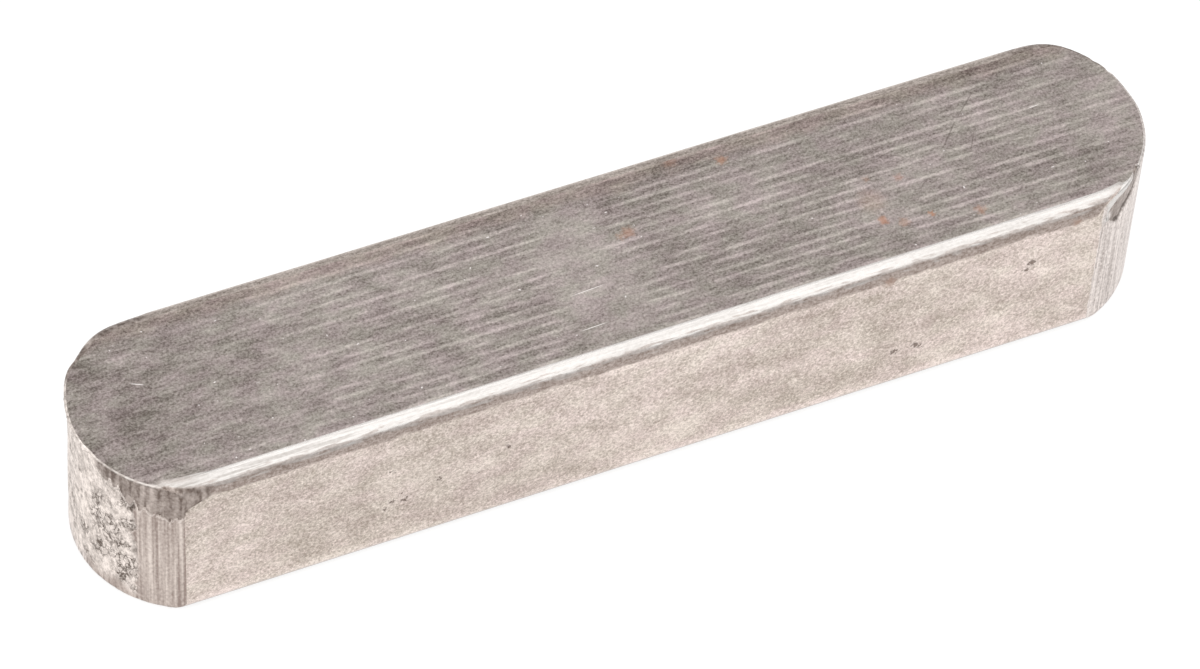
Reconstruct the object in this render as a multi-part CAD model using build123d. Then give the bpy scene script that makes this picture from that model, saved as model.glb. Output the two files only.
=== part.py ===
from build123d import *
import math
import os

# Parallel key, form A: a length of cold-drawn key steel, punched off round at both ends.
# Millimetres. The origin is the centre of the base, +X runs along the key and +Z is up.
# The near side faces -Y and the far side +Y. The left end is the one at -X.

# Nominal size
key_width = 10.0
key_height = 8.0
key_length = 50.0

# Drawn bar: its four long edges are rounded, the top pair more than the base pair
top_edge_radius = 0.7
base_edge_radius = 0.45

# Punched ends: each is an arc a little flatter than a half-circle, so that a faint
# corner is left where it meets the sides. The circle that the arc belongs to stands
# out past the near and the far side by these amounts.
left_arc_past_near = 0.45
left_arc_past_far = 0.15
right_arc_past_near = 0.15
right_arc_past_far = 0.6

# The shear ran off square, so each end slopes in towards the base, in degrees
left_end_lean = 1.0
right_end_lean = 0.5

# Small rounding of the rim round each end, as tumbling leaves it
end_rim_radius = 0.12

# Roll-over: as the punch bit, it dragged both top corners of an end down into slanting
# facets. Bearing is the way that a facet faces, in degrees from the key's axis towards
# its side, depth is what it takes off the rim, and drop is how far below the top it
# runs out.
left_roll_bearing = 60.0
left_roll_depth = 0.3
left_roll_drop = 2.0
right_roll_bearing = 66.0
right_roll_depth = 0.22
right_roll_drop = 1.5

LEFT = -1
RIGHT = 1
NEAR = -1
FAR = 1


def bar_section():
    """Cross-section of the drawn bar, in the YZ plane with its base on Z = 0."""
    side = key_width / 2
    outline = Polyline((-side, 0), (side, 0), (side, key_height), (-side, key_height), close=True)
    section = Plane.YZ * make_face(outline)
    section = fillet(section.vertices().group_by(Axis.Z)[-1], top_edge_radius)
    return fillet(section.vertices().group_by(Axis.Z)[0], base_edge_radius)


def drawn_bar():
    """The bar before it is punched to length."""
    return extrude(bar_section(), (key_length + key_width) / 2, both=True)


def end_arc(end, past_near, past_far):
    """Radius of an end's arc, and the point level with the top that it is struck from."""
    radius = (key_width + past_near + past_far) / 2
    offset = (past_far - past_near) / 2
    return radius, Vector(end * (key_length / 2 - radius), offset, key_height)


def end_waste(end, radius, centre, lean):
    """What the punch takes off an end: all that lies outside the leaning arc."""
    beyond = Pos(centre.X + end * key_width, 0, key_height / 2)
    block = beyond * Box(2 * key_width, 2 * key_width, 2 * key_height)
    return block - Location(centre, (0, end * lean, 0)) * Cylinder(radius, 4 * key_height)


def roll_over(end, side, radius, centre, bearing, depth, drop):
    """What a slanting facet takes off one top corner of an end."""
    turn = math.radians(bearing)
    outward = Vector(end * math.cos(turn), side * math.sin(turn), 0)
    up = Vector(0, 0, 1)
    facet = Plane(
        origin=centre + outward * (radius - depth),
        x_dir=up.cross(outward),
        z_dir=outward * drop + up * depth,
    )
    return facet * Pos(0, 0, key_width / 2) * Box(key_width, key_width, key_width)


def end_rims(key):
    """The edges that run round both end walls: all but those along the key."""
    along = key.edges().filter_by(Axis.X)
    return [edge for edge in key.edges() if edge not in along]


def key_body():
    """The whole key, one piece of steel."""
    left_arc = end_arc(LEFT, left_arc_past_near, left_arc_past_far)
    right_arc = end_arc(RIGHT, right_arc_past_near, right_arc_past_far)
    key = drawn_bar()
    key -= end_waste(LEFT, *left_arc, left_end_lean)
    key -= end_waste(RIGHT, *right_arc, right_end_lean)
    key = fillet(end_rims(key), end_rim_radius)
    for side in (NEAR, FAR):
        key -= roll_over(
            LEFT, side, *left_arc, left_roll_bearing, left_roll_depth, left_roll_drop
        )
        key -= roll_over(
            RIGHT, side, *right_arc, right_roll_bearing, right_roll_depth, right_roll_drop
        )
    return key


os.makedirs("parts", exist_ok=True)
export_step(key_body(), "parts/key_body.step")
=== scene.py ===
import math

import bpy
import numpy as np
from mathutils import Matrix, Vector, noise
from mathutils.geometry import delaunay_2d_cdt


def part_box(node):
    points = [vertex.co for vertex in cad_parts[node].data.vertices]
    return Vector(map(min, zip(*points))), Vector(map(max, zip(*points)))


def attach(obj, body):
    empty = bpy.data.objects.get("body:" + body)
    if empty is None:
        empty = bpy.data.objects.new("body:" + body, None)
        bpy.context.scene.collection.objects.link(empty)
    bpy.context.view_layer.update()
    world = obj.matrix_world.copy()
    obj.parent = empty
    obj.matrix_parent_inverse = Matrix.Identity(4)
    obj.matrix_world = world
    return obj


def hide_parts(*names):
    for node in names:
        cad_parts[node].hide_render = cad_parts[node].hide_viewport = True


# A round-ended parallel key of drawn steel. Sizes are in millimetres, and MM turns them into
# Blender's metres. The near side faces -Y, the left end is the one at -X, and Z = 0 is the base.

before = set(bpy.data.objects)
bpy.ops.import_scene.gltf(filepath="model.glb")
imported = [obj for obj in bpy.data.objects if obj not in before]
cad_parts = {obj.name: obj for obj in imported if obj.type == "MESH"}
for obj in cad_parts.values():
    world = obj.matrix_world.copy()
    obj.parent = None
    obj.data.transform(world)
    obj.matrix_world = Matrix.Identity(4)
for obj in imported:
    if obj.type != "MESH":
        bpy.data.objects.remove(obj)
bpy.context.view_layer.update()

MM = 0.001
LOW, HIGH = (np.array(corner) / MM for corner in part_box("key_body"))
LENGTH, WIDTH, HEIGHT = (round(size, 1) for size in (HIGH - LOW).tolist())

# The drawn bar's long edges and the rim round each end
TOP_EDGE = 0.7
BASE_EDGE = 0.45
RIM = 0.12

NEAR = -1
FAR = 1

# Stands for "not at this corner" among distances round the wall
ELSEWHERE = -LENGTH

# Material slots
FACE = 0
SIDE = 1
END = 2


# ---- shape of the key


def smooth(value, start, end):
    """0 up to start, 1 past end, and an S-curve between them."""
    share = np.clip((value - start) / (end - start), 0, 1)
    return share * share * (3 - 2 * share)


def bell(value, middle, width):
    """1 at the middle, falling away on both sides over about the width."""
    return np.exp(-(((value - middle) / width) ** 2))


def grain(a, b, c):
    """Smooth noise from about -1 to 1, where one unit of each coordinate is about one lump."""
    a, b, c = np.broadcast_arrays(a, b, c)
    points = np.stack([a.ravel(), b.ravel(), c.ravel()], axis=1)
    return np.array([noise.noise(point) for point in points.tolist()]).reshape(a.shape)


def quarter_round(into, radius):
    """How far a quarter-round has fallen back at a distance into it."""
    into = np.clip(into, 0, radius)
    return radius - np.sqrt(radius**2 - into**2)


def half_width(z):
    """Half the bar's width at a level."""
    top = quarter_round(z - (HEIGHT - TOP_EDGE), TOP_EDGE)
    return WIDTH / 2 - top - quarter_round(BASE_EDGE - z, BASE_EDGE)


def rim_inset(z):
    """How far the small rim rounding draws an end wall in at a level."""
    return quarter_round(z - (HEIGHT - RIM), RIM) + quarter_round(RIM - z, RIM)


def runs(*stretches):
    """Numbers through stretches of (start, end, steps), each joint once."""
    parts = [np.linspace(start, end, steps, endpoint=False) for start, end, steps in stretches]
    return np.append(np.concatenate(parts), stretches[-1][1])


class End:
    """One punched end: the arc of its wall, which leans in towards the base.

    The arc's circle stands out past the near and the far side by the two given distances. The
    columns are the places of the wall's points, as shares of the way round from the near corner.
    """

    def __init__(self, side, past_near, past_far, lean, columns):
        self.side = side
        self.radius = (WIDTH + past_near + past_far) / 2
        self.offset = (past_far - past_near) / 2
        self.slope = math.tan(math.radians(lean))
        self.columns = columns

    def centre(self, z):
        """X of the arc's centre at a level."""
        return self.side * (LENGTH / 2 - self.radius - (HEIGHT - z) * self.slope)

    def corner_angle(self, side, z):
        """Angle between the key's axis and the corner with the near or far side."""
        reach = half_width(z) - side * self.offset
        return np.arcsin(reach / (self.radius - rim_inset(z)))

    def half_turn(self, side, z):
        """Half the angle by which the wall turns at that corner."""
        return (math.pi / 2 - self.corner_angle(side, z)) / 2

    def corner_x(self, side, z):
        """X of that corner."""
        radius = self.radius - rim_inset(z)
        return self.centre(z) + self.side * radius * np.cos(self.corner_angle(side, z))


LEFT_END = End(-1, 0.45, 0.15, 1.0, runs((0, 0.4, 104), (0.4, 1, 54)))
RIGHT_END = End(1, 0.15, 0.6, 0.5, runs((0, 0.24, 60), (0.24, 1, 76)))

# The wall's grid: spaces along each side, rows in the top edge's rounding, and the level above
# which the rows lie closer together
NEAR_COLUMNS = 150
FAR_COLUMNS = 96
EDGE_ROWS = 15
CLOSE_ROWS = 5.4
MIDDLE = HEIGHT / 2

# How far inside its rim the top and the base have their first row
BORDER = 0.03

# How far from an upright corner the way out of the wall begins to turn over
TURN_OVER = 1.2


def levels():
    """Heights of the wall's rows: close together in the roundings and under the top."""
    turn = np.linspace(0, math.pi / 2, EDGE_ROWS)[1:-1]
    base = BASE_EDGE * (1 - np.cos(turn[::2]))
    wall = runs((BASE_EDGE, CLOSE_ROWS, 54), (CLOSE_ROWS, HEIGHT - TOP_EDGE, 31))
    top = HEIGHT - TOP_EDGE * (1 - np.sin(turn))
    return np.concatenate([[0.0], base, wall, top, [HEIGHT]])[:, None]


class Wall:
    """Grid of points up and round the key, each with the level way out of the wall there."""

    def __init__(self):
        z = levels()
        near = self.side_columns(z, NEAR, NEAR_COLUMNS)
        right = self.arc_columns(z, RIGHT_END)
        far = self.side_columns(z, FAR, FAR_COLUMNS)
        left = self.arc_columns(z, LEFT_END)
        turned = [[grid[:, ::-1] for grid in part] for part in (far, left)]
        joined = zip(near, right, *turned)
        self.x, self.y, self.out_x, self.out_y, self.end, self.angle = map(np.hstack, joined)
        self.z = z + 0 * self.x

    def side_columns(self, z, side, count):
        """Points along one side, closer together near the ends, without the corners."""
        share = np.arange(1, count) / count
        share = share - 0.6 * np.sin(2 * math.pi * share) / (2 * math.pi)
        start, end = LEFT_END.corner_x(side, z), RIGHT_END.corner_x(side, z)
        x = start + (end - start) * share
        flat = 0 * x
        left = LEFT_END.half_turn(side, z) * (1 - smooth(x - start, 0, TURN_OVER))
        right = RIGHT_END.half_turn(side, z) * (1 - smooth(end - x, 0, TURN_OVER))
        out_x, out_y = np.sin(right - left), side * np.cos(right - left)
        return x, side * half_width(z) + flat, out_x, out_y, flat, flat

    def arc_columns(self, z, end):
        """Points round one end, from the near corner to the far one."""
        start, stop = -end.corner_angle(NEAR, z), end.corner_angle(FAR, z)
        angle = start + (stop - start) * end.columns
        radius = end.radius - rim_inset(z)
        x = end.centre(z) + end.side * radius * np.cos(angle)
        y = end.offset + radius * np.sin(angle)
        near = end.half_turn(NEAR, z) * (1 - smooth((angle - start) * radius, 0, TURN_OVER))
        far = end.half_turn(FAR, z) * (1 - smooth((stop - angle) * radius, 0, TURN_OVER))
        out = angle + far - near
        return x, y, end.side * np.cos(out), np.sin(out), end.side + 0 * x, angle

    def past_corner(self, end, side):
        """Distance round the wall past an upright corner: over 0 on the end, less on the side."""
        corner = end.corner_angle(side, MIDDLE)
        beyond = end.side * (self.x - end.centre(self.z)) / end.radius
        before = beyond - math.cos(corner)
        after = corner - np.arccos(np.clip(beyond, 0, 1))
        along = end.radius * np.where(before < 0, before, after)
        on_side = np.where((self.end == 0) & (self.y * side > 0), along, ELSEWHERE)
        return np.where(self.end == end.side, end.radius * (corner - side * self.angle), on_side)


# Relief: how proud the ledge and the scar's tip stand, and how deep or far in the rest lies
LEDGE_PROUD = 0.02
TIP_PROUD = 0.03
SCAR_FLOOR = 0.07
SCAR_CRACK = 0.12
SCAR_LINE = 0.04
DRAG_INSET = 0.02
DRAG_DEPTH = 0.012
TORN_DEPTH = 0.05
LUMP_DEPTH = 0.045
LIP_INSET = 0.12
PIT_DEPTH = 0.1
KNOCK_DEPTH = 0.015
RIPPLE_DEPTH = 0.006


def soft_least(a, b, width):
    """The lesser of two numbers, rounded off where they meet."""
    share = np.clip(0.5 + 0.5 * (b - a) / width, 0, 1)
    return b + (a - b) * share - width * share * (1 - share)


# Top corners that the punch dragged down: the end and the side, the ledge as (distance round
# the end, level), the distances over which the skin dies away, and its step behind the wall
ROLL_OVERS = [
    (LEFT_END, NEAR, [
        (-1.4, 7.3), (-0.7, 7.0), (-0.2, 6.8), (0, 6.3), (0.6, 5.95), (1.2, 6.1), (2.0, 6.5),
        (3.2, 7.1), (5, 7.8),
    ], (3.4, 5.2), 0.06),
    (LEFT_END, FAR, [
        (-1.2, 7.4), (0, 6.5), (0.9, 6.1), (2.4, 6.8), (4.5, 7.5), (6, 7.8),
    ], (3.4, 5.2), 0.01),
    (RIGHT_END, FAR, [
        (-1.2, 7.4), (0, 6.9), (0.8, 6.6), (2.2, 7.1), (4, 7.6), (6, 7.9),
    ], (3.2, 5.0), 0.01),
]


def roll_over(wall, marks, end, side, ledge, run_out, step):
    """How far the wall moves in under the skin that the punch dragged down to a ragged ledge.

    The skin, the ledge under it, which gets a painted highlight, and painted shade just above the
    ledge are marked.
    """
    past = wall.past_corner(end, side)
    flat = 0 * past
    reach, level = zip(*ledge)
    teeth = 0.22 * grain(past * 2.0, flat, 3.1) + 0.42 * grain(past * 4.2, flat, 8.4)
    teeth = teeth + 0.2 * grain(past * 10, flat, 1.4)
    foot = np.interp(past, reach, level) + teeth * smooth(past, -0.4, 0.2)
    over = wall.z - foot
    spread = smooth(past, reach[0] - 0.4, reach[0] + 0.8) * (1 - smooth(past, *run_out))
    skin = spread * smooth(over, -0.03, 0.05)
    lip_and_highlight = spread * bell(over, -0.1, 0.08)
    marks["skin"] = np.maximum(marks["skin"], skin)
    # Painted shade in the hollow just above the ledge
    marks["painted_shade"] = np.maximum(marks["painted_shade"], 0.35 * spread * bell(over, 0.05, 0.06))
    # The ledge mark carries a painted highlight on the lip that faces up
    marks["ledge"] = np.maximum(marks["ledge"], lip_and_highlight)
    slope = 0.7 * step * skin * np.clip(over, 0, None) / np.maximum(HEIGHT - foot, 0.3)
    return step * skin + slope - LEDGE_PROUD * lip_and_highlight


# Rims past the corners of the top, as (distance round the end, radius, how far the wall leans in)
ROLLED_RIMS = [
    (LEFT_END, NEAR, [
        (-0.6, TOP_EDGE, 0), (0, 0.52, 0.1), (0.5, 0.34, 0.18), (1, 0.22, 0.23), (1.6, 0.14, 0.22),
        (3, RIM, 0.1), (4, RIM, 0),
    ]),
    (LEFT_END, FAR, [
        (-0.8, TOP_EDGE, 0), (0.5, 0.52, 0), (1.5, 0.4, 0), (2.6, 0.38, 0), (3.3, 0.16, 0),
        (4.5, RIM, 0),
    ]),
    (RIGHT_END, NEAR, [
        (-0.6, TOP_EDGE, 0), (0, 0.55, 0.04), (1, 0.4, 0.06), (2, 0.25, 0.02), (2.8, RIM, 0),
    ]),
    (RIGHT_END, FAR, [(-1, TOP_EDGE, 0), (-0.2, 0.5, 0), (0.6, 0.35, 0), (1.6, RIM, 0)]),
]

# The walls lean in above LEAN_FROM, along an S-curve that would end at LEAN_END, over the top
LEAN_FROM = 6.0
LEAN_END = 8.6

# Rounds in which the rims' shape is solved
RIM_ROUNDS = 8


def rim_sizes(wall):
    """Radius and lean of the rim all round, and how dull and how glossy it is."""
    radius = np.where(wall.end == 0, TOP_EDGE, RIM)
    lean, dull, gloss = 0 * wall.x, 0 * wall.x, 1 + 0 * wall.x
    for end, side, rim in ROLLED_RIMS:
        past = wall.past_corner(end, side)
        reach, radii, leans = zip(*rim)
        radius = np.where(past > reach[0], np.interp(past, reach, radii), radius)
        lean = np.where(past > reach[0], np.interp(past, reach, leans), lean)
        if side == NEAR:
            worn = 0.8 * grain(past * 2.6, 0 * past, 4.4) * smooth(past, 1.2, 2.2)
            fading = (1 - 0.4 * smooth(past, 0.2, 1.6)) * (1 - 0.85 * smooth(past, 2.5, 5.5))
            gloss = gloss * fading * (1 + worn)
        else:
            dull = np.maximum(dull, smooth(past, -4, -1) * (1 - smooth(past, 3, 6)))
    share = smooth(wall.z, LEAN_FROM, LEAN_END) / smooth(HEIGHT, LEAN_FROM, LEAN_END)
    return radius, lean * share, dull, gloss * (1 - dull)


def rim_depth(wall, radius, lean):
    """How far the wall moves in for rims of those radii and leans."""
    depth = 0 * wall.x
    width = 0.02 + 0.3 * smooth(wall.z, 7.2, 7.8)
    fall = quarter_round(wall.z - (HEIGHT - radius), radius) + quarter_round(RIM - wall.z, RIM)
    for _ in range(RIM_ROUNDS):
        x, y = wall.x - depth * wall.out_x, wall.y - depth * wall.out_y
        inside = half_width(wall.z) - np.abs(y)
        for end in (LEFT_END, RIGHT_END):
            from_axis = np.hypot(x - end.centre(wall.z), y - end.offset)
            is_beyond = (x - end.centre(wall.z)) * end.side > 0
            into_end = end.radius - lean - fall - from_axis
            inside = np.where(is_beyond, soft_least(inside, into_end, width), inside)
        depth = np.maximum(depth - inside, 0)
    return depth


def rolled_rims(wall, marks):
    """How far the wall moves in where the rims widen towards the corners.

    The section mark is the distance up the bar's section from the foot of the top edge's
    rounding, less than 0 below it. On the sides the gloss mark is where the crest may be
    polished, and on the ends the rim mark is.
    """
    radius, lean, dull, gloss = rim_sizes(wall)
    into = wall.z - (HEIGHT - radius)
    turn = np.degrees(np.arcsin(np.clip(into / radius, 0, 1)))
    taper = smooth(wall.past_corner(LEFT_END, NEAR), -1.1, 0) * smooth(turn, 52, 82)
    marks["section"] = np.where(into < 0, into, TOP_EDGE * np.radians(turn))
    marks["gloss"] = gloss * (1 - 0.45 * taper)
    marks["rim"] = smooth(turn, 28, 55) * gloss
    marks["skin"] = np.maximum(marks["skin"], 0.5 * smooth(turn, 5, 30) * dull)
    return rim_depth(wall, radius, lean)


# Scar across the right end's near corner: its upper and its lower edge, as (distance round the
# end, level)
SCAR_TOP = [(0.35, 6.85), (0.65, 7.3), (1.05, 7.58), (1.6, 7.7), (2.1, 7.85), (2.5, 8.1)]
SCAR_FOOT = [(0.35, 6.8), (1.1, 5.95), (1.6, 6.35), (2.3, 6.8), (2.7, 7.3), (2.95, 8.1)]


def scar(wall, marks):
    """The scar's relief: a dull floor, a ragged crack along its foot and a line at its top, with
    painted shade over the floor, in the crack and along the line.

    The wall over the scar and the tip where the scar starts are rubbed bright.
    """
    past = wall.past_corner(RIGHT_END, NEAR)
    top, foot = (np.interp(past, *zip(*edge)) for edge in (SCAR_TOP, SCAR_FOOT))
    ragged = 0.16 * grain(past * 4, 0 * past, 5.5) + 0.12 * grain(past * 10, 0 * past, 2.6)
    foot = foot + ragged
    start = SCAR_TOP[0][0]
    spread = smooth(past, start - 0.08, start + 0.08) * (1 - smooth(past, 2.85, 3.0))
    floor = spread * smooth(top - wall.z, -0.04, 0.06) * smooth(wall.z - foot, -0.02, 0.06)
    crack = spread * bell(wall.z, foot + 0.05, 0.15) * smooth(past, 0.9, 1.1)
    line = spread * bell(wall.z, top, 0.06)
    line = line * smooth(past, 0.42, 0.52) * (1 - smooth(past, 0.9, 1.3))
    bright = spread * smooth(wall.z - top, 0, 0.06)
    bright = bright * smooth(past, 0.1, 0.5) * (1 - smooth(past, 1.9, 2.3))
    tip = bell(np.hypot(past - 0.42, wall.z - 6.75), 0, 0.2)
    uneven = 0.25 * grain(past * 5 - wall.z * 5, wall.z + past, 8.8)
    # Painted shade over the scar's floor, in its crack and along its top line
    shadow = 0.1 + 0.3 * bell(wall.z, foot, 0.25) + uneven
    dark = np.maximum(np.maximum(crack, 0.7 * line), floor * shadow)
    rubbed = np.maximum(marks["rim"], bright) * (1 - floor) * (1 - line)
    marks["skin"] = np.maximum(marks["skin"], 0.63 * floor * (1 - tip))
    marks["painted_shade"] = np.maximum(marks["painted_shade"], dark * (1 - tip))
    marks["rim"] = np.maximum(rubbed, tip)
    return SCAR_FLOOR * floor + SCAR_CRACK * crack + SCAR_LINE * line - TIP_PROUD * tip


def striations(wall, marks):
    """Upright drag marks of the punch below the skin, weaker on the right end."""
    around = wall.angle * LEFT_END.radius + 20 * wall.end
    slow = wall.z * 0.12
    coarse = grain(around * 2.4, slow, 1.7)
    fine = grain(around * 6.0, slow * 2, 5.2)
    bare = np.abs(wall.end) * (1 - marks["skin"])
    strength = np.where(wall.end == LEFT_END.side, 1, 0.35)
    # The groove mark darkens the bare end walls, most where the drag marks lie deepest: painted
    # shade in the grooves
    marks["groove_shade"] = bare * (0.5 + strength * (0.5 * fine + 0.4 * coarse))
    return bare * (DRAG_INSET + strength * (DRAG_DEPTH * coarse + DRAG_DEPTH * fine))


# Where cracks gather in the torn patch: distance round the end, level, and the size each way
CRACKED = [(2.8, 2.0, 0.6, 0.9), (4.25, 3.7, 0.45, 1.3), (3.4, 2.9, 0.6, 0.9)]


def torn_patch(wall, marks):
    """Where the left end tore instead of shearing: lumps, gathered cracks and an edge, darkened
    with painted shade.
    """
    past = wall.past_corner(LEFT_END, NEAR)
    uneven = 0.35 * grain(wall.z * 0.9, past * 0.9, 2.2)
    place = past + uneven + 0.25 * grain(wall.z * 3.0, past * 3.0, 4.0)
    level = wall.z + 0.4 * grain(past * 1.1, wall.z * 0.5, 6.0)
    within = smooth(place, 2.1, 2.4) * smooth(level, 0.3, 0.9) * (1 - marks["skin"])
    torn = within * (1 - smooth(place, 8.0, 10.0))
    cracked = 0.25 + 0 * past
    for middle, height, wide, tall in CRACKED:
        away = np.hypot((past - middle) / wide, (wall.z - height) / tall)
        cracked = np.maximum(cracked, bell(away, 0, 1))
    cracked = torn * cracked * (1 - smooth(place, 4.6, 5.4)) * smooth(wall.z, 1.0, 1.5)
    edge = within * bell(place, 2.35, 0.12) * smooth(wall.z, 1.5, 3.5)
    apex = smooth(past, 4.6, 5.6)
    marks["torn"] = torn
    marks["apex"] = apex
    marks["cracked"] = cracked
    marks["groove_shade"] = marks["groove_shade"] * (1 - torn)
    # Painted shade along the torn patch's edge
    marks["painted_shade"] = np.maximum(marks["painted_shade"], 0.5 * edge)
    lumps = grain(past * 3.2, wall.z * 2.2, 7.7) + 0.6 * grain(past * 6.5, wall.z * 4.5, 0.3)
    rough = torn * (TORN_DEPTH + LUMP_DEPTH * lumps * (1 - 0.7 * apex))
    return rough + TORN_DEPTH * cracked + TORN_DEPTH * edge


def left_lip(wall):
    """Under its rim the left wall is drawn in a little, most at the top."""
    past = wall.past_corner(LEFT_END, NEAR)
    down = HEIGHT - wall.z
    place = smooth(past, 3.6, 5.0) * (1 - smooth(past, 9.5, 11.5))
    return LIP_INSET * place * smooth(down, 0.05, 0.2) * (1 - smooth(down, 1.0, 6.0))


# Pits near the left end's apex: distance round the end, level and radius
APEX_PITS = [(6.6, 3.1, 0.16), (7.65, 1.1, 0.13), (5.6, 4.6, 0.1)]


def wall_pits(wall, marks):
    """How far the wall moves in at the small pits near the left apex, which are darkened with
    painted shade.
    """
    past = wall.past_corner(LEFT_END, NEAR)
    depth = 0 * past
    for place, level, size in APEX_PITS:
        pit = bell(np.hypot((past - place) * 1.4, wall.z - level), 0, size)
        # Painted shade in each pit
        marks["painted_shade"] = np.maximum(marks["painted_shade"], pit)
        depth = depth + PIT_DEPTH * pit
    return depth


# Dents in the rims: end, bearing and width in degrees, and depth
RIM_DENTS = [
    (LEFT_END, 42, 3.5, 0.06), (RIGHT_END, 5, 9, 0.05), (RIGHT_END, 19, 1.5, 0.05),
    (RIGHT_END, 28, 1.5, 0.04),
]


def rim_dents(wall):
    """How far the wall moves in at knocks and dents in the rims, away from the near corners."""
    near_top = smooth(wall.z, 7.0, 7.8)
    around = wall.angle * LEFT_END.radius + 20 * wall.end
    depth = KNOCK_DEPTH * np.clip(grain(around * 1.1, 0 * around, 2.9), 0, None)
    for end, bearing, width, deep in RIM_DENTS:
        depth = depth + deep * bell(np.degrees(wall.angle), bearing, width) * (wall.end == end.side)
    return near_top * np.abs(wall.end) * smooth(wall.y, -3.5, -1.5) * depth


def edge_ripple(wall, marks):
    """Slight ripple in the long edges' roundings, set in so that it never stands proud."""
    up, on_side = marks["section"], 1 - np.abs(wall.end)
    ripple = RIPPLE_DEPTH * on_side * bell(up, 0.55, 0.45) * grain(wall.x * 0.7, up * 3.2, 1.1)
    return ripple + RIPPLE_DEPTH * on_side


def shaped_wall():
    """The wall's points with all relief, its marks, and whether each column is on an end."""
    wall = Wall()
    marks = {name: 0 * wall.x for name in ("skin", "painted_shade", "ledge")}
    depth = rolled_rims(wall, marks)
    for corner in ROLL_OVERS:
        depth = depth + roll_over(wall, marks, *corner)
    for relief in (scar, striations, torn_patch, wall_pits, edge_ripple):
        depth = depth + relief(wall, marks)
    depth = depth + left_lip(wall) + rim_dents(wall)
    marks["corner"] = bell(wall.past_corner(RIGHT_END, NEAR), 0, 0.18)
    marks["skin"] = marks["skin"] * (1 - marks["rim"])
    x = np.clip(wall.x - depth * wall.out_x, LOW[0], HIGH[0])
    y = np.clip(wall.y - depth * wall.out_y, LOW[1], HIGH[1])
    grid = with_borders(wall, np.stack([x, y, wall.z], axis=2))
    marks = {name: np.pad(mark, ((1, 1), (0, 0)), "edge") for name, mark in marks.items()}
    return grid, marks, wall.end[0] != 0


def with_borders(wall, grid):
    """Adds a row just inside the rim to the base and to the top."""
    inwards = BORDER * np.stack([wall.out_x, wall.out_y, 0 * wall.x], axis=2)
    return np.concatenate([grid[:1] - inwards[:1], grid, grid[-1:] - inwards[-1:]])


# Spaces between the points inside the base and the top
BASE_SPACING = 0.4
TOP_SPACING = 0.3


def inner_points(outline, spacing):
    """Points in staggered rows inside a level outline, half the spacing or more away from it."""
    low, high = outline.min(axis=0), outline.max(axis=0)
    closed = np.vstack([outline, outline[:1]])
    rows = np.arange(low[1] + spacing / 2, high[1], spacing * math.sqrt(0.75))
    inside = []
    for number, y in enumerate(rows):
        crosses = (closed[:-1, 1] > y) != (closed[1:, 1] > y)
        start, end = closed[:-1][crosses], closed[1:][crosses]
        run, rise = (end - start).T
        cuts = start[:, 0] + (y - start[:, 1]) * run / rise
        across = np.arange(low[0] + spacing * (0.5 * (number % 2)), high[0], spacing)
        kept = across[(across > cuts.min() + spacing / 2) & (across < cuts.max() - spacing / 2)]
        gap = np.hypot(outline[:, 0] - kept[:, None], outline[:, 1] - y).min(axis=1)
        inside += [Vector((x, y)) for x in kept[gap > spacing / 2].tolist()]
    return inside


def cap(outline, spacing):
    """Fills a level outline: the points inside it, and triangles that number the outline first."""
    ring = [Vector(point) for point in outline.tolist()]
    inside = inner_points(outline, spacing)
    edges = [(i, (i + 1) % len(ring)) for i in range(len(ring))]
    inside_only, least_gap = 1, 1e-7
    points, _, faces, *_ = delaunay_2d_cdt(ring + inside, edges, [], inside_only, least_gap)
    if len(points) != len(ring) + len(inside):
        raise ValueError("the cap's points were merged")
    return np.array([tuple(point) for point in points[len(ring):]]), faces


def wall_faces(rows, columns, is_end):
    """The four-sided faces between the wall's points, and the material slot of each."""
    faces, slots = [], []
    for row in range(rows - 1):
        low = row * columns
        is_border = row in (0, rows - 2)
        for column in range(columns):
            after = (column + 1) % columns
            high = low + columns
            faces.append((low + column, low + after, high + after, high + column))
            is_round = is_end[column] and is_end[after]
            slots.append(FACE if is_border else END if is_round else SIDE)
    return faces, slots


def key_mesh():
    """The whole key as one closed mesh, with its marks as attributes and a slot for each finish."""
    grid, marks, is_end = shaped_wall()
    rows, columns = grid.shape[:2]
    points = grid.reshape(-1, 3)
    faces, slots = wall_faces(rows, columns, is_end)
    top_row = (rows - 1) * columns
    for first, level, spacing in ((0, 0.0, BASE_SPACING), (top_row, HEIGHT, TOP_SPACING)):
        added, triangles = cap(points[first:first + columns, :2], spacing)
        ring = np.arange(first, first + columns)
        number = np.append(ring, len(points) + np.arange(len(added))).tolist()
        for triangle in triangles:
            corners = tuple(number[i] for i in triangle)
            faces.append(corners if level else corners[::-1])
            slots.append(FACE)
        points = np.vstack([points, np.column_stack([added, np.full(len(added), level)])])
    unmarked = np.zeros(len(points) - rows * columns)
    marks = {name: np.append(mark.ravel(), unmarked) for name, mark in marks.items()}
    return marked_mesh(points, faces, slots, marks)


def marked_mesh(points, faces, slots, marks):
    """A smooth-shaded mesh with those material slots, and the marks as attributes of its points."""
    mesh = bpy.data.meshes.new("parallel_key")
    mesh.from_pydata((points * MM).tolist(), [], faces)
    mesh.polygons.foreach_set("material_index", slots)
    mesh.shade_smooth()
    for name, mark in marks.items():
        layer = mesh.attributes.new(name, "FLOAT", "POINT")
        layer.data.foreach_set("value", mark.astype(np.float32))
    return mesh


# ---- finishes

# Darkest and lightest colour of each finish
# The top's film: darker than the sides partly by its own tone, partly as painted shade
FILM_AND_SHADE = ((0.169, 0.14, 0.124), (0.7, 0.624, 0.588))
BROWN_FILM = ((0.155, 0.12, 0.105), (0.68, 0.58, 0.53))
MATT = ((0.42, 0.35, 0.302), (0.948, 0.842, 0.782))
POLISHED = ((0.44, 0.41, 0.385), (0.72, 0.69, 0.665))
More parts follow.
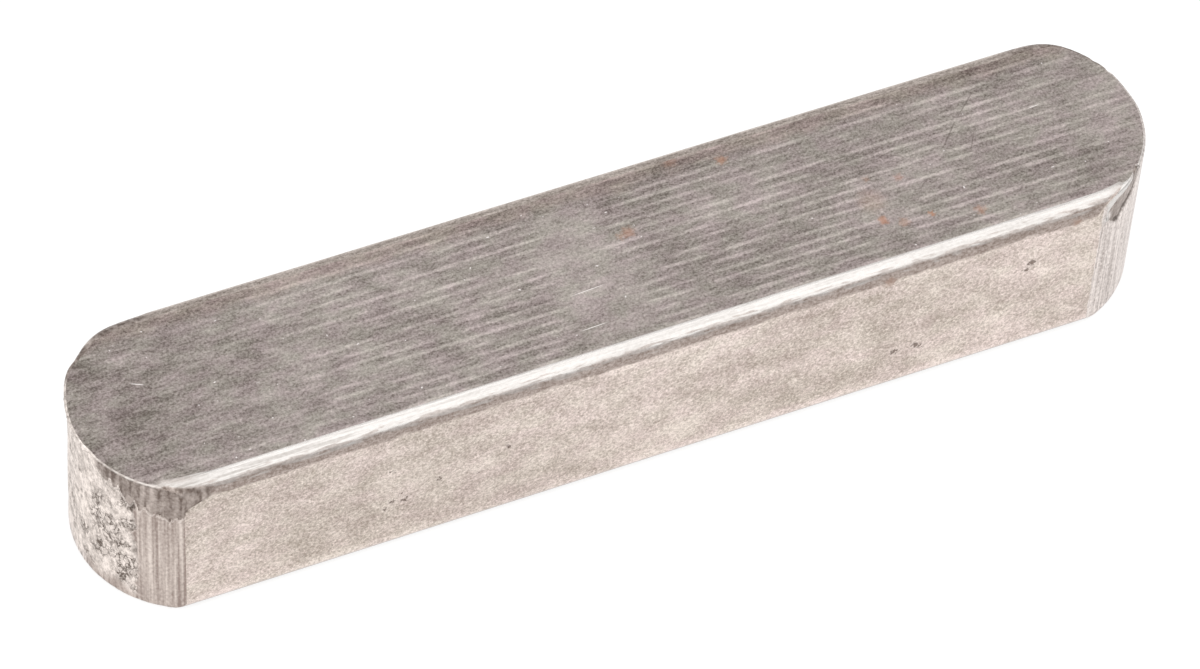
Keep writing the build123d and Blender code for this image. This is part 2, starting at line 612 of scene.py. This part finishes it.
# The lower band of a long edge: its own brown, darkened further with painted shade
LOWER_FILM_AND_SHADE = ((0.28, 0.22, 0.19), (0.56, 0.48, 0.44))
FAR_FILM = ((0.265, 0.217, 0.187), (0.72, 0.64, 0.585))
# Rounding at the base: light grey, painted as a reflection of the floor
FLOOR_REFLECTION_GREY = ((0.56, 0.52, 0.49), (0.78, 0.73, 0.7))
SHEARED_BROWN = ((0.34, 0.27, 0.24), (0.8, 0.71, 0.65))
# Paler end colour: a painted reflection where the wall catches the light
SHEARED_PALE_LIT = ((0.37, 0.315, 0.29), (0.92, 0.845, 0.805))
TORN = ((0.2, 0.16, 0.135), (1.0, 0.91, 0.85))
SKIN = ((0.17, 0.13, 0.11), (0.6, 0.52, 0.475))

# Colours of what lies on them, and of painted shade, highlights and glints
# Lighter band along the top's near edge: a painted highlight
NEAR_EDGE_HIGHLIGHT = (0.62, 0.57, 0.54, 1)
# Painted glints
PAINTED_GLINT = (0.85, 0.8, 0.78, 1)
# Painted highlight along the top of the crest's rounding
CREST_HIGHLIGHT = (0.95, 0.91, 0.88, 1)
BRIGHT_SCRATCH = (0.95, 0.9, 0.87, 1)
DULL_SCRATCH = (0.16, 0.13, 0.115, 1)
# Painted shade, laid in cracks, pits and hollows
PAINTED_SHADE_BROWN = (0.1, 0.075, 0.06, 1)
# Painted highlight on the ledge's lip that faces up
LEDGE_HIGHLIGHT = (0.85, 0.78, 0.73, 1)
# Painted shade in the near side's pits
PIT_SHADE = (0.17, 0.12, 0.095, 1)
PALE_BURR = (0.95, 0.86, 0.8, 1)
RED_RUST = (0.55, 0.26, 0.15, 1)
BROWN_RUST = (0.36, 0.235, 0.18, 1)

# Roughness of the finishes
FILM_ROUGH = 0.48
RUBBED_ROUGH = 0.3
MATT_ROUGH = 0.5
DULL_ROUGH = 0.45
SKIN_ROUGH = 0.42

# Light drawing lines in the top: how far apart, and where they start
LINE_PITCH = 0.5
LINE_SHIFT = 0.22

# Rust on the top: x, y, radius, strength
RUST = [
    (6.55, 3.45, 0.36, 0.5), (1.1, 1.2, 0.42, 0.4), (11.6, -2.3, 0.32, 0.6),
    (12.4, -2.7, 0.36, 0.3), (13.7, -2.7, 0.22, 0.7), (15.8, -3.3, 0.34, 0.4),
    (13.3, -0.3, 0.3, 0.3), (11.9, 0.1, 0.24, 0.25), (11.6, -1.1, 0.9, 0.14),
    (4.4, 4.2, 0.5, 0.2), (0.65, 1.1, 0.3, 0.3),
]

# Rust under the near edge: x, z, radius
EDGE_RUST = [(10.7, 7.25, 0.4), (19.7, 7.3, 0.34)]

# Pits in the near side: x, z, radius
PITS = [
    (17.7, 5.5, 0.25), (17.5, 5.1, 0.2), (12.3, 2.33, 0.25), (11.3, 2.33, 0.24),
    (-7, 4.25, 0.2), (-11.8, 2.87, 0.23), (-12.4, 3, 0.19), (-10.2, 3.5, 0.17),
    (-8.4, 3.1, 0.15), (-12.4, 5, 0.15), (-12, 3.3, 0.15), (-12.7, 2.6, 0.15),
    (12.6, 2.1, 0.16),
]

# Bright and dull scratches in the top: x, y, degrees from the key's axis, length, width
SCRATCHES = [
    (-1.85, -1.15, 3, 1.9, 0.05), (-21.5, 1.15, -28, 0.7, 0.06),
    (-6, 1.85, 50, 0.12, 0.08), (-18.45, 0.05, 15, 0.16, 0.08),
    (20.6, 1.24, 4, 0.7, 0.05), (-2.4, -3.1, 2, 1.6, 0.05),
]
DULL_SCRATCHES = [
    (16.4, 1.1, 46, 2, 0.1), (17.9, 2.5, 41, 2.2, 0.09), (17.27, 0.5, 57, 1.6, 0.09),
]


class Shade:
    """A material's nodes, with a short call for each that the finishes share."""

    def __init__(self, name):
        self.material = bpy.data.materials.new(name)
        self.material.use_nodes = True
        self.tree = self.material.node_tree
        self.tree.nodes.clear()
        spot = self.add("ShaderNodeTexCoord").outputs["Object"]
        self.spot = self.vector("MULTIPLY", spot, (1 / MM,) * 3)

    def add(self, kind, **settings):
        """A new node with these settings."""
        node = self.tree.nodes.new(kind)
        for name, value in settings.items():
            setattr(node, name, value)
        return node

    def put(self, socket, value):
        """Links a node's output to a socket, or sets the socket to a plain value."""
        if isinstance(value, bpy.types.NodeSocket):
            self.tree.links.new(value, socket)
        else:
            socket.default_value = value

    def vector(self, operation, a, b=(0, 0, 0)):
        """Vector maths. LENGTH and DISTANCE give a number."""
        node = self.add("ShaderNodeVectorMath", operation=operation)
        self.put(node.inputs[0], a)
        self.put(node.inputs[1], b)
        return node.outputs["Value" if operation in ("LENGTH", "DISTANCE") else "Vector"]

    def maths(self, operation, a, b=0.0, clamp=False):
        """Maths on two numbers."""
        node = self.add("ShaderNodeMath", operation=operation, use_clamp=clamp)
        self.put(node.inputs[0], a)
        self.put(node.inputs[1], b)
        return node.outputs[0]

    def axis(self, name):
        """X, Y or Z of the shaded spot in millimetres."""
        node = self.add("ShaderNodeSeparateXYZ")
        self.put(node.inputs[0], self.spot)
        return node.outputs[name]

    def mark(self, name):
        """One of the mesh's marks."""
        return self.add("ShaderNodeAttribute", attribute_name=name).outputs["Fac"]

    def grain(self, stretch, detail=2.0, shift=0.0):
        """Noise from 0 to 1 with stretch lumps in each millimetre along X, Y and Z."""
        place = self.vector("MULTIPLY", self.spot, stretch)
        place = self.vector("ADD", place, (shift, shift * 0.7, shift * 1.3))
        node = self.add("ShaderNodeTexNoise")
        self.put(node.inputs["Vector"], place)
        self.put(node.inputs["Scale"], 1.0)
        self.put(node.inputs["Detail"], detail)
        return node.outputs["Fac"]

    def wander(self, lumps):
        """Three noises from 0 to 1 as a vector, with that many lumps in each millimetre."""
        node = self.add("ShaderNodeTexNoise")
        self.put(node.inputs["Vector"], self.spot)
        self.put(node.inputs["Scale"], lumps)
        return node.outputs["Color"]

    def ramp(self, value, start, end, low=0.0, high=1.0):
        """value from start to end, eased onto low to high and held outside it."""
        node = self.add("ShaderNodeMapRange", interpolation_type="SMOOTHSTEP")
        for socket, number in zip(node.inputs, (value, start, end, low, high)):
            self.put(socket, number)
        return node.outputs["Result"]

    def blend(self, share, a, b, mode="MIX"):
        """Two colours mixed."""
        node = self.add("ShaderNodeMix", data_type="RGBA", blend_type=mode)
        self.put(node.inputs["Factor"], share)
        self.put(node.inputs[6], a)
        self.put(node.inputs[7], b)
        return node.outputs[2]

    def between(self, share, a, b):
        """Two numbers mixed."""
        node = self.add("ShaderNodeMix", data_type="FLOAT")
        self.put(node.inputs["Factor"], share)
        self.put(node.inputs[2], a)
        self.put(node.inputs[3], b)
        return node.outputs[0]

    def total(self, *parts):
        """The sum of (number, weight) pairs."""
        added = 0.0
        for value, weight in parts:
            added = self.maths("ADD", self.maths("MULTIPLY", value, weight), added)
        return added

    def times(self, *values):
        """The product of several numbers."""
        product = values[0]
        for value in values[1:]:
            product = self.maths("MULTIPLY", product, value)
        return product

    def spots(self, places, wobble):
        """1 in the middle of each (x, y, z, radius), falling to 0 near that radius, unevenly."""
        shift = self.vector("SUBTRACT", self.wander(5.0), (0.5, 0.5, 0.5))
        spot = self.vector("ADD", self.spot, self.vector("MULTIPLY", shift, (wobble,) * 3))
        found = 0.0
        for x, y, z, radius in places:
            away = self.vector("DISTANCE", spot, (x, y, z))
            found = self.maths("MAXIMUM", self.ramp(away, 0.25 * radius, radius, 1, 0), found)
        return found


def tinted(shade, colour, drift):
    """Lets the hue drift a little between purplish and greenish."""
    hue = shade.grain((0.8, 1.2, 1.2), detail=4, shift=45)
    purplish = (1 + drift, 1 - drift / 2, 1 + drift, 1)
    greenish = (1 - drift, 1 + drift / 2, 1 - drift, 1)
    tint = shade.blend(shade.ramp(hue, 0.3, 0.7), purplish, greenish)
    return shade.blend(1.0, colour, tint, mode="MULTIPLY")


def colour_between(shade, tone, colours):
    """Colour from the dark one of two at a tone of 0 to the light one at 1."""
    dark, light = colours
    share = shade.maths("ADD", tone, 0.0, clamp=True)
    return shade.blend(share, (*dark, 1), (*light, 1))


def drawn_lines(shade, along, across):
    """Light lines that the drawing die left along the top and base, from 0 to about 1."""
    place = shade.maths("ADD", across, LINE_SHIFT)
    phase = shade.times(place, 2 * math.pi / LINE_PITCH)
    line = shade.ramp(shade.maths("COSINE", phase), 0.0, 1.0)
    broken = shade.grain((0.45, 1.9, 1), detail=3, shift=12)
    strength = shade.ramp(broken, 0.36, 0.62, 0.1, 1.1)
    left, right = shade.ramp(along, -18, -10, 0.3, 1.15), shade.ramp(along, 19, 23, 1.0, 0.6)
    return shade.times(line, strength, shade.times(left, right))


def light_patch(shade, along):
    """Paler place without lines across the middle of the top."""
    uneven = shade.grain((0.6, 0.6, 1), detail=3, shift=41)
    ragged = shade.total((along, 1), (uneven, 3), (1, -1.5))
    return shade.times(shade.ramp(ragged, -3.6, -2.4), shade.ramp(ragged, 0.6, -0.2))


def drawn_face(shade):
    """Top and base: dull grey film, mottled, with lines along it and a lighter, glossier band along
    the near edge. The film is darker than the sides partly by its own tone and partly as painted
    shade, and the band's lighter grey is a painted highlight.
    """
    along, across = shade.axis("X"), shade.axis("Y")
    grain = shade.grain((7, 8, 8))
    speck = shade.grain((13, 15, 13), detail=1, shift=31)
    dash = shade.grain((1.6, 7, 1), shift=8)
    wave = shade.grain((0.9, 2.4, 1), shift=69)
    mottle = shade.grain((0.7, 1.1, 1), detail=3, shift=4)
    cloud = shade.grain((0.2, 0.35, 1), detail=1, shift=6)
    patch = light_patch(shade, along)
    line = shade.times(drawn_lines(shade, along, across), shade.ramp(patch, 0, 1, 1, 0.15))
    dashed = shade.ramp(shade.axis("Z"), 1, 2, 0.2, 0.5)
    waved = shade.ramp(along, 0, -8, 0, 0.45)
    tone = shade.total(
        (line, 0.27), (grain, 0.95), (speck, 0.7), (dash, dashed), (mottle, 0.55),
        (cloud, 0.45), (patch, 0.13), (wave, waved), (shade.ramp(along, 0, -8), -0.19),
        (shade.ramp(along, 19, 23), 0.08), (shade.ramp(along, -18, -23), -0.08), (1, -1.21),
    )
    # Film colour, partly painted shade; browner towards the far edge
    film, brown = (colour_between(shade, tone, pair) for pair in (FILM_AND_SHADE, BROWN_FILM))
    by_far_edge = shade.ramp(shade.total((across, 1), (mottle, 1.2)), 3.9, 4.6)
    colour = tinted(shade, shade.blend(by_far_edge, film, brown), 0.025)
    # Lighter, glossier band along the top's near edge; the lighter grey is a painted highlight
    rubbed = shade.times(
        shade.ramp(shade.total((across, 1), (dash, 0.1)), -4.2, -4.3),
        shade.ramp(along, -22.4, -21.4), shade.ramp(along, 22.2, 21.2),
    )
    colour = shade.blend(rubbed, colour, NEAR_EDGE_HIGHLIGHT)
    # Painted glints: rare light specks in the film
    glints = shade.ramp(shade.grain((5, 5, 5), detail=0, shift=51), 0.84, 0.88)
    colour = shade.blend(glints, colour, PAINTED_GLINT)
    rough = shade.between(rubbed, FILM_ROUGH, RUBBED_ROUGH)
    height = shade.total((line, 0.003), (grain, 0.006))
    return colour, rough, height


def matt_side(shade):
    """Long sides: matt and pinkish beige, finely crinkled, lightest near the edges; the lightening
    near the base is a painted reflection of the floor.
    """
    along, up = shade.axis("X"), shade.mark("section")
    grain = shade.grain((7, 9, 8), shift=1)
    speck = shade.grain((14, 14, 15), detail=1, shift=33)
    folds = shade.grain((2.6, 3, 3), detail=3, shift=37)
    crinkle = shade.maths("ABSOLUTE", shade.total((folds, 1), (1, -0.5)))
    mottle = shade.grain((0.7, 1, 1), shift=3)
    cloud = shade.grain((0.2, 1, 0.35), detail=1, shift=5)
    below_edge = shade.times(shade.ramp(up, -0.5, -0.22), shade.ramp(up, -0.06, -0.14))
    # Painted reflection of the floor: the side is lightened near the base
    floor_reflection = shade.ramp(shade.axis("Z"), 0.85, 0.45)
    tone = shade.total(
        (grain, 1.4), (speck, 1.1), (shade.ramp(crinkle, 0.05, 0), 0.22), (mottle, 0.8),
        (cloud, 0.6), (below_edge, 0.1), (floor_reflection, 0.24), (shade.ramp(along, -2, -10), -0.05),
        (1, -1.525),
    )
    colour = tinted(shade, colour_between(shade, tone, MATT), 0.012)
    height = shade.total((grain, 0.014), (speck, 0.008), (mottle, 0.008))
    return colour, MATT_ROUGH, height


def polished_edge(shade):
    """Crest of the near edge, and the rims: rubbed bright, with faint streaks, duller far left, and
    a painted highlight along the top of the rounding.
    """
    along, up = shade.axis("X"), shade.mark("section")
    streak = shade.grain((0.25, 7, 7), shift=7)
    speck = shade.grain((5, 9, 9), shift=9)
    worn = shade.ramp(along, -18.5, -22)
    dull_streak = shade.times(shade.ramp(streak, 0.5, 0.38), shade.ramp(along, -6, -21, 0.1, 0.8))
    tone = shade.total(
        (streak, 1.1), (speck, 0.9), (worn, -0.42), (dull_streak, -0.6), (1, -0.17),
    )
    colour = colour_between(shade, tone, POLISHED)
    # Painted highlight along the top of the rounding, fading out at the far left
    lip_and_highlight = shade.times(shade.ramp(up, 0.92, 1.06, 0, 0.6), shade.maths("SUBTRACT", 1, worn))
    colour = shade.blend(lip_and_highlight, colour, CREST_HIGHLIGHT)
    rough = shade.total((streak, 0.14), (speck, 0.1), (1, 0.13))
    height = shade.total((streak, 0.006), (speck, 0.004))
    return colour, rough, height


def lower_edge(shade):
    """Lower part of a long edge: brownish, speckled film, darker than the side partly by its own
    brown and partly as painted shade.
    """
    grain = shade.grain((6, 9, 9), shift=11)
    speck = shade.grain((14, 14, 15), detail=1, shift=35)
    streak = shade.grain((0.5, 4, 4), shift=13)
    tone = shade.total((grain, 2.0), (speck, 1.3), (streak, 1.0), (1, -1.68))
    return colour_between(shade, tone, LOWER_FILM_AND_SHADE), DULL_ROUGH, shade.times(grain, 0.01)


def far_edge(shade):
    """Top edge of the far side: the top's brownish film, paler lower down."""
    grain = shade.grain((6, 9, 9), shift=55)
    speck = shade.grain((13, 13, 13), detail=1, shift=57)
    streak = shade.grain((0.6, 5, 5), shift=59)
    worn = shade.ramp(shade.mark("section"), 0.9, 0.55)
    tone = shade.total((grain, 1.5), (speck, 1.0), (streak, 1.0), (worn, 0.3), (1, -1.3))
    return colour_between(shade, tone, FAR_FILM), DULL_ROUGH, shade.times(grain, 0.01)


def base_rounding(shade):
    """Rounding between a side and the base: light grey, a painted reflection of the floor."""
    grain = shade.grain((3, 9, 9), shift=29)
    tone = shade.total((grain, 1.2), (1, -0.1))
    return colour_between(shade, tone, FLOOR_REFLECTION_GREY), DULL_ROUGH, shade.times(grain, 0.01)


def sheared_end(shade):
    """End walls: burnished steel with upright drag lines; the right end and the left apex are
    speckled instead, and painted paler as a painted reflection of the light.
    """
    line = shade.grain((6, 6, 0.12), detail=3, shift=15)
    thin_line = shade.grain((15, 15, 0.3), shift=61)
    grain = shade.grain((9, 9, 6), shift=17)
    speck = shade.grain((13, 13, 11), detail=1, shift=63)
    # Painted reflection: the right end and the left apex are painted paler, and get the speckled
    # texture
    lit_and_speckled = shade.maths("MAXIMUM", shade.ramp(shade.axis("X"), -1, 1), shade.mark("apex"))
    lined = shade.total((line, 2.1), (grain, 1.1), (1, -0.96))
    speckled = shade.total((line, 1.2), (thin_line, 1.5), (grain, 1.3), (speck, 1.0), (1, -1.63))
    # Painted shade in the drag grooves
    tone = shade.total((shade.between(lit_and_speckled, lined, speckled), 1), (shade.mark("groove_shade"), -0.5))
    brown, pale = (colour_between(shade, tone, pair) for pair in (SHEARED_BROWN, SHEARED_PALE_LIT))
    height = shade.total((line, 0.03), (grain, 0.008))
    return shade.blend(lit_and_speckled, brown, pale), DULL_ROUGH, height


def torn_lumps(shade):
    """A random number for each lump of the torn steel, and the cracks between them, 0 to 1."""
    shift = shade.vector("MULTIPLY", shade.wander(3.0), (2.0, 2.0, 2.0))
    place = shade.vector("ADD", shade.vector("MULTIPLY", shade.spot, (3.6, 3.6, 2.1)), shift)
    lump = shade.add("ShaderNodeTexVoronoi")
    gap = shade.add("ShaderNodeTexVoronoi", feature="DISTANCE_TO_EDGE")
    for node in (lump, gap):
        shade.put(node.inputs["Vector"], place)
        shade.put(node.inputs["Scale"], 1.0)
    uneven = shade.grain((1.8, 1.8, 1.3), detail=0, shift=53)
    gaping = shade.ramp(shade.total((uneven, 1), (shade.mark("cracked"), 0.5)), 0.5, 0.85)
    crack = shade.times(shade.ramp(gap.outputs["Distance"], 0.15, 0.0), gaping)
    return shade.vector("LENGTH", lump.outputs["Color"]), crack


def torn_steel(shade):
    """Torn patch: light and dark lumps, with painted shade in the cracks between them."""
    lump, crack = torn_lumps(shade)
    grain = shade.grain((5, 5, 3.2), detail=3, shift=19)
    fine = shade.grain((13, 13, 10), detail=1, shift=21)
    blotch = shade.grain((1.6, 1.6, 1.2), shift=39)
    # The cracks are darkened with painted shade
    tone = shade.total(
        (grain, 1.3), (fine, 0.7), (blotch, 0.75), (lump, 0.3), (crack, -0.6), (1, -0.965),
    )
    height = shade.total((grain, 0.04), (fine, 0.015), (crack, -0.05))
    return colour_between(shade, tone, TORN), MATT_ROUGH, height


def rolled_skin(shade):
    """Rolled-over skin: brownish film with faint upright streaks."""
    line = shade.grain((4.5, 4.5, 0.5), shift=23)
    patch = shade.grain((1.6, 1.6, 1.1), shift=47)
    grain = shade.grain((8, 8, 7), shift=25)
    tone = shade.total((line, 1.7), (patch, 1.5), (grain, 1.1), (1, -1.74))
    return colour_between(shade, tone, SKIN), SKIN_ROUGH, shade.times(tone, 0.015)


def scratches(shade, places):
    """1 along the middle of each scratch in the top, falling to 0 at its edge."""
    found = 0.0
    for x, y, degrees, length, width in places:
        node = shade.add("ShaderNodeMapping", vector_type="TEXTURE")
        shade.put(node.inputs["Vector"], shade.spot)
        node.inputs["Location"].default_value = (x, y, HEIGHT)
        node.inputs["Rotation"].default_value = (0, 0, math.radians(degrees))
        node.inputs["Scale"].default_value = (length / 2, width / 2, 1)
        away = shade.vector("LENGTH", node.outputs[0])
        found = shade.maths("MAXIMUM", shade.ramp(away, 0.5, 1.0, 1, 0), found)
    return found


def layered(shade, ground, *layers):
    """Finishes laid over the first one, each given as (finish, share)."""
    colour, rough, height = ground
    for (over, over_rough, over_height), share in layers:
        colour = shade.blend(share, colour, over)
        rough = shade.between(share, rough, over_rough)
        height = shade.between(share, height, over_height)
    return colour, rough, height


def skin_layer(shade):
    """The rolled-over skin as a layer, where the mesh is marked with it."""
    return rolled_skin(shade), shade.ramp(shade.mark("skin"), 0.3, 0.7)


def with_painted_shade(shade, colour):
    """Darkens a colour with painted shade where the mesh is marked for it: in cracks, pits and
    hollows.
    """
    return shade.blend(shade.ramp(shade.mark("painted_shade"), 0.1, 0.9, 0, 0.8), colour, PAINTED_SHADE_BROWN)


def metal(shade, colour, rough, height):
    """The finished material: bare metal with that colour, roughness and relief in millimetres."""
    bump = shade.add("ShaderNodeBump")
    bump.inputs["Distance"].default_value = MM
    shade.put(bump.inputs["Height"], height)
    surface = shade.add("ShaderNodeBsdfPrincipled")
    surface.inputs["Metallic"].default_value = 1.0
    shade.put(surface.inputs["Base Color"], colour)
    shade.put(surface.inputs["Roughness"], rough)
    shade.put(surface.inputs["Normal"], bump.outputs["Normal"])
    output = shade.add("ShaderNodeOutputMaterial")
    shade.put(output.inputs["Surface"], surface.outputs["BSDF"])
    return shade.material


def face_steel():
    """Top and base, with rust specks and scratches."""
    shade = Shade("drawn_face")
    colour, rough, height = drawn_face(shade)
    for x, y, radius, strength in RUST:
        rust = shade.spots([(x, y, HEIGHT, radius)], wobble=0.5)
        colour = shade.blend(shade.times(rust, strength), colour, RED_RUST)
    dull = shade.times(scratches(shade, DULL_SCRATCHES), 0.5)
    colour = shade.blend(dull, colour, DULL_SCRATCH)
    colour = shade.blend(scratches(shade, SCRATCHES), colour, BRIGHT_SCRATCH)
    return metal(shade, colour, rough, height)


def polish_share(shade, up):
    """How far the crest is polished at a distance up the section, with a ragged border."""
    late = shade.ramp(shade.axis("X"), 1, 4, 0, -0.04)
    uneven = shade.grain((1.1, 8, 8), detail=3, shift=67)
    dashed = shade.total((uneven, 0.9), (up, 1), (late, 1), (1, -0.45))
    first, full = shade.ramp(dashed, 0.33, 0.42), shade.ramp(dashed, 0.5, 0.63)
    return shade.total((first, 0.42), (full, 0.58))


def with_pits(shade, colour):
    """The colour with painted shade in the near side's pits, pale burrs round them, and the pits
    from 0 to 1.
    """
    pits = shade.spots([(x, -WIDTH / 2, z, size) for x, z, size in PITS], wobble=0.6)
    burr = shade.times(shade.ramp(pits, 0.0, 0.12), shade.ramp(pits, 0.4, 0.2), 0.5)
    colour = shade.blend(burr, colour, PALE_BURR)
    # Painted shade in the pits
    return shade.blend(shade.ramp(pits, 0.3, 0.8, 0, 0.75), colour, PIT_SHADE), pits


def side_steel():
    """Long sides and the roundings above and below them."""
    shade = Shade("matt_side")
    up, across = shade.mark("section"), shade.axis("Y")
    uneven = shade.grain((0.9, 4, 4), detail=4, shift=27)
    ragged = shade.total((uneven, 0.55), (up, 1), (1, -0.275))
    near, far = shade.ramp(across, 0.1, -0.1), shade.ramp(across, -0.1, 0.1)
    colour, rough, height = layered(
        shade,
        matt_side(shade),
        (lower_edge(shade), shade.ramp(ragged, -0.11, 0.05)),
        (polished_edge(shade), shade.times(polish_share(shade, up), near, shade.mark("gloss"))),
        (far_edge(shade), shade.times(shade.ramp(ragged, 0.2, 0.5), far)),
        (base_rounding(shade), shade.ramp(shade.axis("Z"), 0.42, 0.25)),
        skin_layer(shade),
    )
    # Painted shade in cracks, hollows and pits
    colour, pits = with_pits(shade, with_painted_shade(shade, colour))
    rust = shade.spots([(x, -WIDTH / 2, z, size) for x, z, size in EDGE_RUST], wobble=0.6)
    colour = shade.blend(shade.times(rust, 0.6), colour, BROWN_RUST)
    return metal(shade, colour, rough, shade.total((height, 1), (pits, -0.06)))


def end_steel():
    """Both end walls."""
    shade = Shade("punched_end")
    uneven = shade.grain((7, 7, 2.5), shift=65)
    worn_corner = shade.ramp(shade.total((shade.mark("corner"), 1), (uneven, 1)), 1.0, 1.1)
    colour, rough, height = layered(
        shade,
        sheared_end(shade),
        (torn_steel(shade), shade.mark("torn")),
        (matt_side(shade), worn_corner),
        skin_layer(shade),
        (polished_edge(shade), shade.mark("rim")),
    )
    # Painted highlight on the ledge, over painted shade in the cracks and hollows
    ledge = shade.ramp(shade.mark("ledge"), 0.3, 1.0, 0, 0.5)
    colour = shade.blend(ledge, with_painted_shade(shade, colour), LEDGE_HIGHLIGHT)
    return metal(shade, colour, rough, height)


def make_key():
    """The key, which stands for the CAD solid."""
    mesh = key_mesh()
    for material in (face_steel(), side_steel(), end_steel()):
        mesh.materials.append(material)
    key = bpy.data.objects.new("parallel_key", mesh)
    bpy.context.scene.collection.objects.link(key)
    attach(key, "root")
    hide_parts("key_body")


# ---- floor, light and camera

# Floor: its size, how strongly it glows and its paint
FLOOR_SIZE = 6000.0
FLOOR_GLOW = 0.72
FLOOR_PAINT = (0.34, 0.34, 0.34, 1)

# How bright the room is to everything but the camera
ROOM_GLOW = 0.72

# Softbox: how far off and how large it is, and the way to its middle from the key
BOX_DISTANCE = 600.0
BOX_WIDTH = 1500.0
BOX_DEPTH = 1050.0
BOX_AZIMUTH = -27.0
BOX_ELEVATION = 76.0
BOX_RADIANCE = 0.8

# Camera: the way to it and how far it stands from its aim, how far it is rolled, and its lens
CAMERA_AZIMUTH = -27.2
CAMERA_ELEVATION = 50.11
CAMERA_ROLL = 4.15
CAMERA_DISTANCE = 277.2
CAMERA_AIM = (-0.83, -0.61, 4.0)
CAMERA_LENS = 192.7


def aimed(azimuth, elevation, distance, aim, roll=0.0):
    """Matrix of something that looks at a point from that far away, with its angles in degrees."""
    a, e = math.radians(azimuth), math.radians(elevation)
    back = Vector((math.sin(a) * math.cos(e), -math.cos(a) * math.cos(e), math.sin(e)))
    turn = back.to_track_quat("Z", "Y").to_matrix() @ Matrix.Rotation(math.radians(roll), 3, "Z")
    return Matrix.Translation((Vector(aim) + back * distance) * MM) @ turn.to_4x4()


def floor_paint():
    """The floor's material."""
    shade = Shade("floor_white")
    path = shade.add("ShaderNodeLightPath")
    glow = shade.add("ShaderNodeEmission")
    seen = shade.times(path.outputs["Is Camera Ray"], FLOOR_GLOW)
    mirrored = shade.times(path.outputs["Is Glossy Ray"], FLOOR_GLOW)
    shade.put(glow.inputs["Strength"], shade.maths("ADD", seen, mirrored))
    paint = shade.add("ShaderNodeBsdfDiffuse")
    paint.inputs["Color"].default_value = FLOOR_PAINT
    both = shade.add("ShaderNodeAddShader")
    shade.put(both.inputs[0], glow.outputs[0])
    shade.put(both.inputs[1], paint.outputs[0])
    output = shade.add("ShaderNodeOutputMaterial")
    shade.put(output.inputs["Surface"], both.outputs[0])
    return shade.material


def make_floor():
    """A floor that glows white to the camera and in the steel, and takes the key's shadow."""
    half = FLOOR_SIZE / 2 * MM
    mesh = bpy.data.meshes.new("floor")
    corners = [(-half, -half, 0), (half, -half, 0), (half, half, 0), (-half, half, 0)]
    mesh.from_pydata(corners, [], [(0, 1, 2, 3)])
    floor = bpy.data.objects.new("floor", mesh)
    bpy.context.scene.collection.objects.link(floor)
    mesh.materials.append(floor_paint())


def make_world():
    """A grey room that the camera sees as white."""
    world = bpy.data.worlds.new("room")
    bpy.context.scene.world = world
    world.use_nodes = True
    nodes, links = world.node_tree.nodes, world.node_tree.links
    background = nodes["Background"]
    background.inputs["Color"].default_value = (1, 1, 1, 1)
    path = nodes.new("ShaderNodeLightPath")
    room = nodes.new("ShaderNodeMix")
    room.inputs[2].default_value = ROOM_GLOW
    room.inputs[3].default_value = 1.0
    links.new(path.outputs["Is Camera Ray"], room.inputs["Factor"])
    links.new(room.outputs[0], background.inputs["Strength"])


def make_softbox():
    """One large soft lamp overhead, leaning to the camera's side."""
    lamp = bpy.data.lights.new("softbox", "AREA")
    lamp.shape = "RECTANGLE"
    lamp.size, lamp.size_y = BOX_WIDTH * MM, BOX_DEPTH * MM
    lamp.energy = BOX_RADIANCE * math.pi * lamp.size * lamp.size_y
    softbox = bpy.data.objects.new("softbox", lamp)
    softbox.matrix_world = aimed(BOX_AZIMUTH, BOX_ELEVATION, BOX_DISTANCE, (0, 0, 0))
    bpy.context.scene.collection.objects.link(softbox)


def make_camera():
    """The camera, with its aim point at the middle of the picture."""
    camera = bpy.data.objects.new("camera", bpy.data.cameras.new("camera"))
    camera.data.lens = CAMERA_LENS
    camera.data.clip_start = 10 * MM
    camera.matrix_world = aimed(
        CAMERA_AZIMUTH, CAMERA_ELEVATION, CAMERA_DISTANCE, CAMERA_AIM, CAMERA_ROLL
    )
    bpy.context.scene.collection.objects.link(camera)
    bpy.context.scene.camera = camera


make_key()
make_floor()
make_world()
make_softbox()
make_camera()
bpy.context.scene.view_settings.view_transform = "Standard"
bpy.context.view_layer.update()
